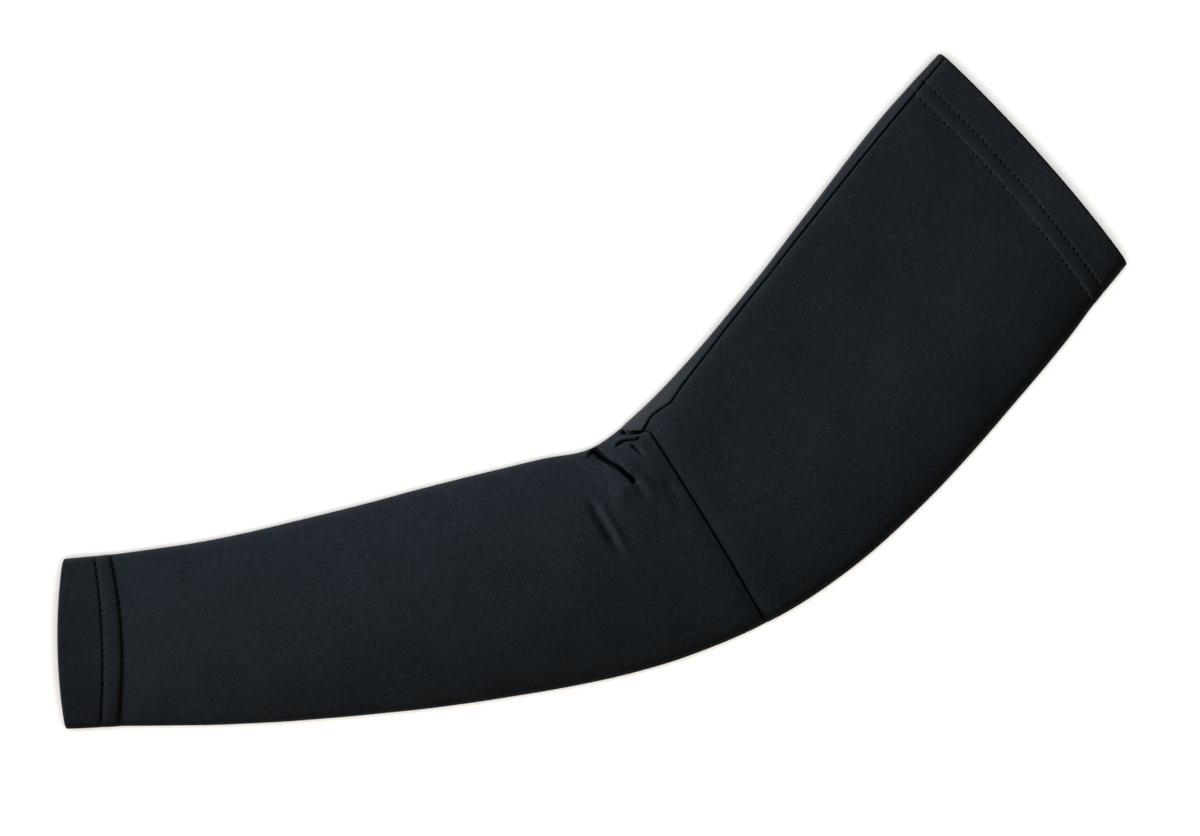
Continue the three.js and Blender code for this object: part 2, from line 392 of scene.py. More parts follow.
def crook_folds(points, spread=1.0):
    """How the folds in the crook move the cloth, down into the creases and over them.
    spread widens the creases."""
    lift = np.zeros(points.shape[:-1])
    move = np.zeros_like(points)
    flat = points[..., :2]
    for fold in FOLDS:
        away, share, left = from_path(flat, fold.path)
        strength = smoothstep(share, 0, fold.start) * smoothstep(1 - share, 0, fold.end)
        slope = fold.slope[0] + (fold.slope[1] - fold.slope[0]) * share
        sloping = np.clip(fold.steep * (1 - np.maximum(-away, 0) / (slope * spread)), 0, 1)
        walled = bell(np.maximum(away, 0), fold.wall * spread)
        lift -= fold.depth * strength * sloping * walled
        lift += fold.lip * strength * bell(away - fold.lip_at, fold.lip_reach)
        brow = BROW_AT * fold.wall
        lean = fold.lean * strength * smoothstep(away, 0, brow)
        lean *= 1 - smoothstep(away, brow, brow + LEAN_REACH)
        move -= left * lean[..., None]
    away = np.linalg.norm(flat - np.array(SWELLING_AT), axis=-1)
    lift += SWELLING_HEIGHT * bell(away, SWELLING_REACH)
    move[..., 2] += np.maximum(lift, np.minimum(CREASE_FLOOR - points[..., 2], 0))
    return move * on_upper_face(points)[..., None]


def loose_waves(points, seed):
    """The slight unevenness of cloth that lies loose."""
    rng = np.random.default_rng(seed)
    lift = np.zeros(points.shape[:-1])
    for length in WAVE_LENGTHS:
        heading, phase = rng.uniform(0, tau, 2)
        way = np.array([cos(heading), sin(heading)]) / length
        lift += WAVE_STEEPNESS * length * np.sin(tau * (points[..., :2] @ way) + phase)
    return lift * on_upper_face(points)


def seen(points):
    """1 on the upper face, with little left at the outline and below, so that rows leave no notch there."""
    return HIDDEN_SHARE + (1 - HIDDEN_SHARE) * on_upper_face(points) ** 2


def seam_edge(run, points, depth):
    """How far cloth drops where its edge meets the elbow seam, by the run from that seam."""
    roll = depth * np.clip(1 - run / SEAM_ROLL, 0, 1) ** SEAM_ROUNDNESS
    return (roll + SEAM_PULL * bell(run, SEAM_PULL_REACH)) * seen(points)


def closing_seam(points):
    """The closing seam's dip, how far the strip beyond it is raised to slope evenly, 1 all over that strip
    and how strongly a painted highlight lies on that strip, full in the crook."""
    away, share, _ = from_path(points[..., :2], CLOSING_SEAM)
    up = points[..., 2]
    in_crook = 1 - smoothstep(share, 0, CROOK_STRIP_SHARE)
    slope = STRIP_SLOPE + (CROOK_STRIP_SLOPE - STRIP_SLOPE) * in_crook
    dip = CLOSING_DEPTH * bell(away, CLOSING_WIDTH) * on_upper_face(points)
    seam_column = np.where(up > FOLD_MIDDLE, np.abs(away), np.inf).argmin(axis=1)
    seam_height = np.take_along_axis(up, seam_column[:, None], axis=1)
    short_by = np.maximum(seam_height - slope * away - up, 0)
    even = np.where(away > 0, short_by, 0) * smoothstep(up, FOLD_MIDDLE, FOLD_MIDDLE + FOLD_CREST)
    strip = smoothstep(away, *STRIP_EDGE) * smoothstep(up, STRIP_FOOT, FOLD_MIDDLE)
    # A painted highlight over the strip where it faces the key light, full at the crook end.
    highlight = strip * (STRIP_HIGHLIGHT + (1 - STRIP_HIGHLIGHT) * (1 - smoothstep(share, 0, CROOK_HIGHLIGHT_SHARE)))
    return dip, even, strip, highlight


# Finishes


def hex_colour(code):
    """A linear colour from an sRGB hex code."""
    shares = [int(code[i : i + 2], 16) / 255 for i in (1, 3, 5)]
    linear = [s / 12.92 if s <= 0.04045 else ((s + 0.055) / 1.055) ** 2.4 for s in shares]
    return (*linear, 1)


def add_node(tree, kind, settings=None, values=None, links=None):
    """One node with its settings, the values of its sockets and what feeds them: a node's first output,
    where only the node is given, or another output."""
    node = tree.nodes.new(kind)
    for name, value in (settings or {}).items():
        setattr(node, name, value)
    for socket, value in (values or {}).items():
        node.inputs[socket].default_value = value
    for socket, source in (links or {}).items():
        output = source.outputs[0] if isinstance(source, bpy.types.Node) else source
        tree.links.new(output, node.inputs[socket])
    return node


def new_material(name):
    """A material with an empty node tree."""
    material = bpy.data.materials.new(name)
    material.use_nodes = True
    material.node_tree.nodes.clear()
    return material, material.node_tree


KNIT_WALE = 1.0  # width of a knit column; the real one is about 0.5 and would not show
KNIT_COURSE = 0.8
LEG_WIDTH = 0.25  # of a column, from a loop's leg to the gap beside it
SLANT_SHARE = 0.35  # how strong the slanting yarns are beside the legs
KNIT_RELIEF = 0.12  # height of the loops
MARL_SIZE = 1.3  # the yarn's speckle; the real one is finer and would not show
MOTTLE_SIZE = 14.0
MOTTLE_SHARE = 0.2
TONE_RANGE = (0.34, 0.86)  # of speckle and mottle together, from the dark yarn to the pale one
PAINTED_HIGHLIGHT = "#222428"  # painted highlight: a paler colour where the strip beyond the closing seam wraps the side fold towards the key light
LINT = "#4A5258"
LINT_APART = 2.8  # from one stray fibre to the next
LINT_LENGTH = 1.3
LINT_WIDTH = 0.24
LINT_EDGE = (0.5, 0.3)  # where a fibre fades out and where it is full, as shares of its size
LINT_BARE = 0.35  # share of the places that hold no fibre
LINT_STRENGTH = 0.55
PILE_TUFT = 1.6
PILE_CLUMP = 6.0
PILE_RELIEF = 0.6
THREAD_STRAND = 0.25
THREAD_RELIEF = 0.05
PAPER_FIBRE = 40.0  # the real one is finer and would not show


def fleece_backed_knit(name, dark_yarn, pale_yarn):
    """Fleece-backed polyester knit, smooth side: matt, black with a blue cast, in fine columns of loops,
    speckled by its yarn, with a few pale stray fibres. Where marked, a paler colour is painted on as a
    highlight."""
    material, tree = new_material(name)
    uv = add_node(tree, "ShaderNodeUVMap", {"uv_map": "cloth"})
    cells = add_node(
        tree,
        "ShaderNodeVectorMath",
        {"operation": "DIVIDE"},
        {1: (KNIT_WALE * MM, KNIT_COURSE * MM, 1)},
        {0: uv.outputs["UV"]},
    )
    cell = add_node(tree, "ShaderNodeSeparateXYZ", links={0: cells})
    in_wale = add_node(tree, "ShaderNodeMath", {"operation": "FRACT"}, links={0: cell.outputs["X"]})
    off_middle = add_node(tree, "ShaderNodeMath", {"operation": "SUBTRACT"}, {1: 0.5}, {0: in_wale})
    from_middle = add_node(tree, "ShaderNodeMath", {"operation": "ABSOLUTE"}, links={0: off_middle})
    slant = add_node(
        tree, "ShaderNodeMath", {"operation": "ADD"}, links={0: cell.outputs["Y"], 1: from_middle}
    )
    turn = add_node(tree, "ShaderNodeMath", {"operation": "MULTIPLY"}, {1: tau}, {0: slant})
    loop = add_node(tree, "ShaderNodeMath", {"operation": "SINE"}, links={0: turn})
    leg = add_node(tree, "ShaderNodeMath", {"operation": "PINGPONG"}, {1: LEG_WIDTH}, {0: from_middle})
    legs = add_node(tree, "ShaderNodeMath", {"operation": "MULTIPLY"}, {1: 1 / LEG_WIDTH}, {0: leg})
    loops = add_node(
        tree, "ShaderNodeMath", {"operation": "MULTIPLY_ADD"}, {1: SLANT_SHARE}, {0: loop, 2: legs}
    )
    spot = add_node(tree, "ShaderNodeTexCoord").outputs["Object"]
    marl = add_node(
        tree,
        "ShaderNodeTexNoise",
        values={"Scale": 1 / (MARL_SIZE * MM), "Detail": 2.0, "Roughness": 0.6},
        links={"Vector": spot},
    )
    mottle = add_node(
        tree,
        "ShaderNodeTexNoise",
        values={"Scale": 1 / (MOTTLE_SIZE * MM), "Detail": 3.0},
        links={"Vector": spot},
    )
    tone = add_node(
        tree, "ShaderNodeMath", {"operation": "MULTIPLY_ADD"}, {1: MOTTLE_SHARE}, {0: mottle, 2: marl}
    )
    tone_share = add_node(
        tree,
        "ShaderNodeMapRange",
        values={"From Min": TONE_RANGE[0], "From Max": TONE_RANGE[1]},
        links={"Value": tone},
    )
    yarn = add_node(
        tree,
        "ShaderNodeMix",
        {"data_type": "RGBA"},
        {6: hex_colour(dark_yarn), 7: hex_colour(pale_yarn)},
        {0: tone_share},
    )
    # A painted highlight: a paler colour mixed in where the cloth's points mark it.
    highlight = add_node(tree, "ShaderNodeAttribute", {"attribute_name": "painted_highlight"})
    highlighted = add_node(
        tree,
        "ShaderNodeMix",
        {"data_type": "RGBA"},
        {7: hex_colour(PAINTED_HIGHLIGHT)},
        {0: highlight.outputs["Fac"], 6: yarn.outputs[2]},
    )
    strands = add_node(
        tree, "ShaderNodeTexVoronoi", values={"Scale": 1 / (LINT_APART * MM)}, links={"Vector": spot}
    )
    chance = add_node(tree, "ShaderNodeSeparateXYZ", links={0: strands.outputs["Color"]})
    heading = add_node(
        tree, "ShaderNodeMath", {"operation": "MULTIPLY"}, {1: tau}, {0: chance.outputs["X"]}
    )
    around = add_node(
        tree,
        "ShaderNodeVectorRotate",
        {"rotation_type": "Z_AXIS"},
        links={"Vector": spot, "Center": strands.outputs["Position"], "Angle": heading},
    )
    off_strand = add_node(
        tree,
        "ShaderNodeVectorMath",
        {"operation": "SUBTRACT"},
        links={0: around, 1: strands.outputs["Position"]},
    )
    in_strands = add_node(
        tree,
        "ShaderNodeVectorMath",
        {"operation": "DIVIDE"},
        {1: (LINT_LENGTH * MM, LINT_WIDTH * MM, LINT_LENGTH * MM)},
        {0: off_strand},
    )
    from_strand = add_node(tree, "ShaderNodeVectorMath", {"operation": "LENGTH"}, links={0: in_strands})
    strand = add_node(
        tree,
        "ShaderNodeMapRange",
        values={"From Min": LINT_EDGE[0], "From Max": LINT_EDGE[1]},
        links={"Value": from_strand.outputs["Value"]},
    )
    caught = add_node(
        tree,
        "ShaderNodeMapRange",
        values={"From Min": LINT_BARE, "From Max": 1.0, "To Max": LINT_STRENGTH},
        links={"Value": chance.outputs["Y"]},
    )
    lint = add_node(tree, "ShaderNodeMath", {"operation": "MULTIPLY"}, links={0: strand, 1: caught})
    linted = add_node(
        tree,
        "ShaderNodeMix",
        {"data_type": "RGBA"},
        {7: hex_colour(LINT)},
        {0: lint, 6: highlighted.outputs[2]},
    )
    relief = add_node(
        tree,
        "ShaderNodeBump",
        values={"Strength": 0.3, "Distance": KNIT_RELIEF * MM},
        links={"Height": loops},
    )
    shader = add_node(
        tree,
        "ShaderNodeBsdfPrincipled",
        values={
            "Roughness": 0.9,
            "IOR": 1.5,
            "Specular IOR Level": 0.06,
            "Sheen Weight": 0.02,
            "Sheen Roughness": 0.5,
            "Sheen Tint": hex_colour("#C4C2C0"),
        },
        links={"Base Color": linted.outputs[2], "Normal": relief},
    )
    add_node(tree, "ShaderNodeOutputMaterial", links={"Surface": shader})
    return material


def brushed_fleece():
    """The knit's brushed inner side: a short, soft pile in small tufts and clumps, black and hazy."""
    material, tree = new_material("brushed_fleece")
    spot = add_node(tree, "ShaderNodeTexCoord").outputs["Object"]
    tufts = add_node(
        tree,
        "ShaderNodeTexNoise",
        values={"Scale": 1 / (PILE_TUFT * MM), "Detail": 4.0, "Roughness": 0.65},
        links={"Vector": spot},
    )
    clumps = add_node(
        tree,
        "ShaderNodeTexNoise",
        values={"Scale": 1 / (PILE_CLUMP * MM), "Detail": 2.0},
        links={"Vector": spot},
    )
    pile = add_node(tree, "ShaderNodeMath", {"operation": "ADD"}, links={0: tufts, 1: clumps})
    colour = add_node(
        tree,
        "ShaderNodeMix",
        {"data_type": "RGBA"},
        {6: hex_colour("#0C0F12"), 7: hex_colour("#22282D")},
        {0: tufts},
    )
    relief = add_node(
        tree,
        "ShaderNodeBump",
        values={"Strength": 0.6, "Distance": PILE_RELIEF * MM},
        links={"Height": pile},
    )
    shader = add_node(
        tree,
        "ShaderNodeBsdfPrincipled",
        values={
            "Roughness": 1.0,
            "IOR": 1.5,
            "Specular IOR Level": 0.05,
            "Sheen Weight": 0.12,
            "Sheen Roughness": 0.6,
            "Sheen Tint": hex_colour("#A9B2B8"),
        },
        links={"Base Color": colour.outputs[2], "Normal": relief},
    )
    add_node(tree, "ShaderNodeOutputMaterial", links={"Surface": shader})
    return material


def spun_polyester_thread():
    """Black spun polyester sewing thread: fine twisted strands, a little darker than the cloth."""
    material, tree = new_material("spun_polyester_thread")
    spot = add_node(tree, "ShaderNodeTexCoord").outputs["Object"]
    strands = add_node(
        tree,
        "ShaderNodeTexNoise",
        values={"Scale": 1 / (THREAD_STRAND * MM), "Detail": 2.0},
        links={"Vector": spot},
    )
    colour = add_node(
        tree,
        "ShaderNodeMix",
        {"data_type": "RGBA"},
        {6: hex_colour("#0A0D0F"), 7: hex_colour("#14191C")},
        {0: strands},
    )
    relief = add_node(
        tree,
        "ShaderNodeBump",
        values={"Strength": 0.4, "Distance": THREAD_RELIEF * MM},
        links={"Height": strands},
    )
    shader = add_node(
        tree,
        "ShaderNodeBsdfPrincipled",
        values={"Roughness": 0.75, "IOR": 1.5, "Specular IOR Level": 0.08},
        links={"Base Color": colour.outputs[2], "Normal": relief},
    )
    add_node(tree, "ShaderNodeOutputMaterial", links={"Surface": shader})
    return material


def paper_sweep():
    """A studio's white paper sweep: matt, with a trace of fibre."""
    material, tree = new_material("paper_sweep")
    spot = add_node(tree, "ShaderNodeTexCoord").outputs["Object"]
    fibre = add_node(
        tree,
        "ShaderNodeTexNoise",
        values={"Scale": 1 / (PAPER_FIBRE * MM), "Detail": 4.0},
        links={"Vector": spot},
    )
    colour = add_node(
        tree,
        "ShaderNodeMix",
        {"data_type": "RGBA"},
        {6: hex_colour("#F2F2F1"), 7: hex_colour("#F6F6F5")},
        {0: fibre},
    )
    shader = add_node(
        tree,
        "ShaderNodeBsdfPrincipled",
        values={"Roughness": 0.9, "Specular IOR Level": 0.1},
        links={"Base Color": colour.outputs[2]},
    )
    add_node(tree, "ShaderNodeOutputMaterial", links={"Surface": shader})
    return material


knit = fleece_backed_knit("fleece_backed_knit", "#0E1317", "#191F24")
hem_knit = fleece_backed_knit("doubled_fleece_backed_knit", "#0E1216", "#191E22")
fleece = brushed_fleece()
thread = spun_polyester_thread()

# The cloth's place in the frame: its box is centred on the origin, as the frame's is.
along_sleeve = np.linspace(0, len(SECTIONS) - 1, 600)
round_sleeve = np.linspace(0, 3.99, 80)
face_lines = np.vstack([lying_face(along_sleeve, turn)[:, :2] for turn in round_sleeve])
shift = np.append(-(face_lines.min(axis=0) + face_lines.max(axis=0)) / 2, 0)

# Panels and hems


def sewn_wall(name, rings, face, lining_from, lining_to, cut_rings, highlight):
    """A closed skin over rings that follow each other out along the outer face and back inside.
    face is the outer material; lining_from and lining_to bound the rings that show the fleece;
    cut_rings lie along cut edges, which stay sharp; the last is a painted highlight's strength at each
    point."""
    rings = np.asarray(rings)
    count, round_count = rings.shape[:2]
    points = (rings + shift).reshape(-1, 3) * MM
    ring, column = np.meshgrid(np.arange(count), np.arange(round_count), indexing="ij")
    next_ring, next_column = (ring + 1) % count, (column + 1) % round_count
    quads = np.stack(
        [
            ring * round_count + column,
            next_ring * round_count + column,
            next_ring * round_count + next_column,
            ring * round_count + next_column,
        ],
        -1,
    ).reshape(-1, 4)
    a, b, c, d = (points[quads[:, k]] for k in range(4))
    volume = (np.cross(a, b) * c).sum() + (np.cross(a, c) * d).sum()
    steps = np.linalg.norm(np.diff(rings, axis=0), axis=-1).mean(axis=1)
    along = np.concatenate([[0], np.cumsum(steps)])
    along = np.append(along, along[-1])
    girth = run_round(rings[0])
    uv = np.stack(
        [
            np.stack([girth[column], along[ring]], -1),
            np.stack([girth[column], along[ring + 1]], -1),
            np.stack([girth[column + 1], along[ring + 1]], -1),
            np.stack([girth[column + 1], along[ring]], -1),
        ],
        2,
    ).reshape(-1, 4, 2)
    if volume < 0:
        quads, uv = quads[:, ::-1], uv[:, ::-1]
    mesh = bpy.data.meshes.new(name)
    mesh.from_pydata(points.tolist(), [], quads.tolist())
    mesh.uv_layers.new(name="cloth").data.foreach_set("uv", (uv * MM).ravel())
    mesh.materials.append(face)
    mesh.materials.append(fleece)
    lined = ((ring >= lining_from) & (ring < lining_to)).ravel().astype(np.int32)
    mesh.polygons.foreach_set("material_index", lined)
    # How strongly the painted highlight lies on each point, for the material.
    mesh.attributes.new("painted_highlight", "FLOAT", "POINT").data.foreach_set("value", highlight.ravel())
    mesh.shade_smooth()
    mesh.update()
    edges = np.empty(2 * len(mesh.edges), np.int32)
    mesh.edges.foreach_get("vertices", edges)
    edge_ring = edges.reshape(-1, 2) // round_count
    cut = (edge_ring[:, 0] == edge_ring[:, 1]) & np.isin(edge_ring[:, 0], cut_rings)
    mesh.edges.foreach_set("use_edge_sharp", cut)
    obj = bpy.data.objects.new(name, mesh)
    bpy.context.collection.objects.link(obj)
    return obj


def panel_turns():
    """Places round a panel, closest where the folds and the closing seam are."""
    return np.concatenate([np.linspace(*stretch, endpoint=False) for stretch in PANEL_TURNS])


def run_shares(length, fine_from, fine_to):
    """Shares of a panel's length: close at both edges and over its fine stretch, wider elsewhere."""
    edge = EDGE_RINGS[-1]
    middle = [edge]
    while middle[-1] < length - edge:
        outside = max(fine_from - middle[-1], middle[-1] - fine_to, 0)
        middle.append(middle[-1] + min(FINE_STEP + STEP_GROWTH * outside, PLAIN_STEP))
    inside = [m for m in middle[1:] if m < length - edge - FINE_STEP / 2]
    return np.sort(np.concatenate([EDGE_RINGS, length - EDGE_RINGS, inside])) / length


def elbow_seam_at(turn):
    """Where the elbow seam runs along the sleeve; at the inner fold it swings towards the forearm."""
    side = np.where((turn >= 2) & (turn < 3), np.cos(pi * (turn - 2)), 1)
    upper = smoothstep(-side, ELBOW_SWING_FROM, 1.0)
    under = np.where(turn < 1, 1 - smoothstep(turn, 0, ELBOW_SWING_UNDER), 0)
    lower = np.where(turn >= 3, 1, under)
    return place("elbow seam") - ELBOW_SWING * np.maximum(upper, lower)


def panel_grid(start, end, fine_from, fine_to):
    """The plain face of a panel as a grid of rings: its points, normals and run from the first ring.
    fine_from and fine_to bound the finely drawn stretch, from the panel's end where they are negative."""
    turn = panel_turns()
    start, end = start + 0 * turn, end + 0 * turn
    length = run_along(lying_face(np.linspace(start, end, PANEL_LENGTH_STEPS), turn[None, :]))[-1].max()
    if fine_from < 0:
        fine_from, fine_to = length + fine_from, length + fine_to
    shares = run_shares(length, fine_from, fine_to)
    points = lying_face(start + (end - start) * shares[:, None], turn[None, :])
    return points, outward_normals(points), run_along(points)


def beside_hem(run, points):
    """How far a panel drops beside a hem, by the run from it, down to the inner row's groove."""
    edge = INNER_ROW_GROOVE - PANEL_DIP
    return (edge * bell(run, PANEL_EDGE_REACH) + PANEL_DIP * bell(run, PANEL_DIP_REACH)) * seen(points)


def every_other(rings):
    """Every other ring with the last one, which is enough for the inner face."""
    return rings[np.unique(np.append(np.arange(0, len(rings), 2), len(rings) - 1))]


def turned_in(run):
    """The extra thickness of the seam allowance, by the run from the elbow seam."""
    return CLOTH * (1 - smoothstep(run, SEAM_ALLOWANCE - ALLOWANCE_EDGE, SEAM_ALLOWANCE))


def forearm_sleeve():
    """The forearm panel, with the bunched cloth of the crook."""
    seam = elbow_seam_at(panel_turns())
    points, normals, run = panel_grid(place("wrist hem"), seam, *FOREARM_FINE)
    to_elbow = run[-1] - run
    drop = beside_hem(run, points) + seam_edge(to_elbow, points, SEAM_DEPTH)
    folds, wide_folds = crook_folds(points), crook_folds(points, LINING_SPREAD)
    waves = loose_waves(points, WRIST_WAVES)
    outer = points + folds + normals * (waves - drop)[..., None]
    inner = points + normals * (waves - CLOTH - LINING_SHARE * drop - turned_in(to_elbow))[..., None]
    inner[..., 2] += np.minimum(folds, wide_folds)[..., 2]
    rings = np.concatenate([outer, every_other(inner)[::-1]])
    # No painted highlight on the forearm.
    highlight = np.zeros(rings.shape[:2])
    first, last = len(outer), len(rings) - 1
    return sewn_wall("forearm_sleeve", rings, knit, first, last, [0, first - 1, first, last], highlight)


def upper_arm_sleeve():
    """The upper arm panel, with the closing seam and the strip beyond it."""
    seam = elbow_seam_at(panel_turns())
    points, normals, run = panel_grid(seam, place("upper hem"), *UPPER_ARM_FINE)
    dip, even, strip, strip_highlight = closing_seam(points)
    beside = beside_hem(run[-1] - run, points) * (1 - STRIP_COVERS * strip)
    drop = beside + seam_edge(run, points, 0) * (1 - strip * on_upper_face(points))
    waves = loose_waves(points, UPPER_WAVES)
    outer = points + normals * (waves - dip - drop)[..., None]
    outer[..., 2] += even
    inner = points + normals * (waves - dip - CLOTH - LINING_SHARE * drop - turned_in(run))[..., None]
    rings = np.concatenate([outer, every_other(inner)[::-1]])
    # The painted highlight lies on the outer face only.
    highlight = np.concatenate([strip_highlight, 0 * every_other(strip_highlight)])
    first, last = len(outer), len(rings) - 1
    return sewn_wall("upper_arm_sleeve", rings, knit, first, last, [0, first - 1, first, last], highlight)


def even_turns(at, step):
    """Places round a section at even steps of girth."""
    dense = np.linspace(0, 4, GIRTH_STEPS, endpoint=False)
    passed = run_round(lying_face(np.array(float(at)), dense))
    count = int(round(passed[-1] / step))
    return np.interp(np.arange(count) * passed[-1] / count, passed, np.append(dense, 4))


def needle_holes(ring, run, seed):
    """Uneven dimples at a stitch row's needle holes. ring is the row's line, run the distance from it."""
    passed = run_round(ring)
    count = round(passed[-1] / STITCH_PITCH)
    pitch = passed[-1] / count
    from_hole = (passed[:-1] % pitch) - pitch / 2
    pull = np.random.default_rng(seed).uniform(*NEEDLE_PULL, count)
    hole = np.minimum(passed[:-1] // pitch, count - 1).astype(int)
    return NEEDLE_DIP * pull[hole] * bell(np.hypot(from_hole[None, :], run), NEEDLE_REACH)


def hem_rings(leg, edge_row):
    """Where a hem's rings lie, by the run from the panel: close together beside its stitch rows."""
    beside = [row + rings for row in (STITCH_INSET, edge_row) for rings in (ROW_RINGS, -ROW_RINGS)]
    plain = [np.arange(0, leg, HEM_STEP), [leg]]
    return np.unique(np.clip(np.concatenate(beside + plain), 0, leg).round(2))


def hem_band(name, stitched, edge, edge_row_share, waves, closed_here):
    """A turned hem: doubled cloth from the panel's edge to the mouth, with a round turned edge.
    stitched and edge are the sections of the panel's edge and of the mouth, waves the panel's seed,
    and closed_here says that the closing seam crosses the hem.
    Returns the band and the lines and normals of its two stitch rows."""
    way = 1 if edge > stitched else -1
    turn = even_turns((stitched + edge) / 2, HEM_ROUND_STEP)
    turned = HEM_CLOTH / 2
    sections = np.linspace(stitched, edge, HEM_LENGTH_STEPS)
    length = run_along(lying_face(sections[:, None], turn[None, :]))[-1].mean()
    edge_row = edge_row_share * length
    marks = hem_rings(length - RIM_BULGE, edge_row)
    inner_row, outer_row = (int(np.abs(marks - at).argmin()) for at in (STITCH_INSET, edge_row))
    at = stitched + (edge - stitched) * marks / length
    points = lying_face(at[:, None], turn[None, :])
    run = run_along(points)
    points[..., 2] += MOUTH_FLARE * run / length * on_upper_face(points)
    normals = outward_normals(points)
    from_inner, from_outer = run - run[inner_row], run - run[outer_row]
    shown = seen(points)
    lift = loose_waves(points, waves) + HEM_RISE * smoothstep(run, 0, HEM_RISE_REACH) * shown
    edge_row_reach = np.where(from_outer > 0, *EDGE_ROW_REACH)
    inner_groove = INNER_ROW_GROOVE * bell(np.maximum(from_inner, 0), INNER_ROW_REACH)
    drop = (inner_groove + EDGE_ROW_GROOVE * bell(from_outer, edge_row_reach)) * shown
    even, highlight = np.zeros(run.shape), np.zeros(run.shape)
    if closed_here:
        dip, even, strip, highlight = closing_seam(points)
        drop = drop * (1 - STRIP_COVERS * strip) + dip
    seat = points + normals * (lift - drop)[..., None]
    seat[..., 2] += even
    inner_holes = needle_holes(seat[inner_row], from_inner, NEEDLE_SEEDS[0])
    outer_holes = needle_holes(seat[outer_row], from_outer, NEEDLE_SEEDS[1])
    outer = seat - normals * ((inner_holes + outer_holes) * shown)[..., None]
    forward = way * forward_at(np.full(len(turn), float(edge)))
    rim = []
    for angle in np.linspace(0, pi, RIM_STEPS + 1)[1:-1]:
        inwards = lift[-1] - drop[-1] * cos(angle / 2) - turned * (1 - cos(angle))
        turning = points[-1] + forward * RIM_BULGE * sin(angle) + normals[-1] * inwards[:, None]
        turning[:, 2] += even[-1] * cos(angle / 2) ** 2
        rim.append(turning)
    lining = np.linspace(0, len(marks) - 1, HEM_LINING_RINGS).round().astype(int)
    inner = points[lining] + normals[lining] * (lift - HEM_CLOTH)[lining][..., None]
    rings = np.concatenate([outer, np.array(rim), inner[::-1]])
    # The painted highlight carries round the turned edge, but not onto the inner face.
    rim_highlight = np.repeat(highlight[-1:], len(rim), axis=0)
    band_highlight = np.concatenate([highlight, rim_highlight, 0 * highlight[lining]])
    last = len(rings) - 1
    band = sewn_wall(name, rings, hem_knit, len(marks) + len(rim), last, [0, last], band_highlight)
    rows = [(seat[row], normals[row]) for row in (inner_row, outer_row)]
    return band, rows


# Stitches


def stitch_tree():
    """Stitches along closed lines of points: a bowed length of thread at each step, lying on the cloth."""
    tree = bpy.data.node_groups.new("stitch_row", "GeometryNodeTree")
    for name, kind, value in (
        ("Rows", "NodeSocketGeometry", None),
        ("Thread Radius", "NodeSocketFloat", THREAD_RADIUS * MM),
        ("Stitch Length", "NodeSocketFloat", (STITCH_PITCH - STITCH_GAP) * MM),
        ("Unevenness", "NodeSocketFloat", STITCH_UNEVENNESS),
        ("Seed", "NodeSocketInt", STITCH_SEED),
        ("Thread", "NodeSocketMaterial", None),
    ):
        socket = tree.interface.new_socket(name, in_out="INPUT", socket_type=kind)
        if value is not None:
            socket.default_value = value
    tree.interface.new_socket("Stitches", in_out="OUTPUT", socket_type="NodeSocketGeometry")
    given = add_node(tree, "NodeGroupInput").outputs
    lines = add_node(tree, "GeometryNodeMeshToCurve", links={"Mesh": given["Rows"]})
    count = add_node(tree, "GeometryNodeInputNamedAttribute", {"data_type": "INT"}, {"Name": "stitches"})
    steps = add_node(
        tree, "GeometryNodeResampleCurve", links={"Curve": lines, "Count": count.outputs["Attribute"]}
    )
    up = add_node(
        tree, "GeometryNodeInputNamedAttribute", {"data_type": "FLOAT_VECTOR"}, {"Name": "cloth_normal"}
    )
    tangent = add_node(tree, "GeometryNodeInputTangent")
    lay = add_node(
        tree,
        "FunctionNodeAxesToRotation",
        {"primary_axis": "Z", "secondary_axis": "X"},
        links={"Primary Axis": up.outputs["Attribute"], "Secondary Axis": tangent},
    )
    half = add_node(
        tree, "ShaderNodeMath", {"operation": "MULTIPLY"}, {1: 0.5}, {0: given["Stitch Length"]}
    )
    back = add_node(tree, "ShaderNodeMath", {"operation": "MULTIPLY"}, {1: -1.0}, {0: half})
    sunk = add_node(
        tree, "ShaderNodeMath", {"operation": "MULTIPLY"}, {1: -STITCH_SINK}, {0: given["Thread Radius"]}
    )
    bowed = add_node(
        tree, "ShaderNodeMath", {"operation": "MULTIPLY"}, {1: STITCH_BOW}, {0: given["Thread Radius"]}
    )
    start = add_node(tree, "ShaderNodeCombineXYZ", links={"X": back, "Z": sunk})
    middle = add_node(tree, "ShaderNodeCombineXYZ", links={"Z": bowed})
    end = add_node(tree, "ShaderNodeCombineXYZ", links={"X": half, "Z": sunk})
    bow = add_node(
        tree,
        "GeometryNodeCurveQuadraticBezier",
        values={"Resolution": STITCH_SIDES},
        links={"Start": start, "Middle": middle, "End": end},
    )
    section = add_node(
        tree,
        "GeometryNodeCurvePrimitiveCircle",
        values={"Resolution": STITCH_SIDES},
        links={"Radius": given["Thread Radius"]},
    )
    stitch = add_node(
        tree,
        "GeometryNodeCurveToMesh",
        values={"Fill Caps": True},
        links={"Curve": bow, "Profile Curve": section},
    )
    least = add_node(
        tree, "ShaderNodeMath", {"operation": "SUBTRACT"}, {0: 1.0}, {1: given["Unevenness"]}
    )
    most = add_node(tree, "ShaderNodeMath", {"operation": "ADD"}, {0: 1.0}, {1: given["Unevenness"]})
    size = add_node(tree, "FunctionNodeRandomValue", links={2: least, 3: most, "Seed": given["Seed"]})
    laid = add_node(
        tree,
        "GeometryNodeInstanceOnPoints",
        links={
            "Points": steps,
            "Instance": stitch,
            "Rotation": lay,
            "Scale": size.outputs[1],
        },
    )
    solid = add_node(tree, "GeometryNodeRealizeInstances", links={0: laid})
    dyed = add_node(
        tree, "GeometryNodeSetMaterial", links={"Geometry": solid, "Material": given["Thread"]}
    )
    add_node(tree, "NodeGroupOutput", links={"Stitches": dyed})
    return tree


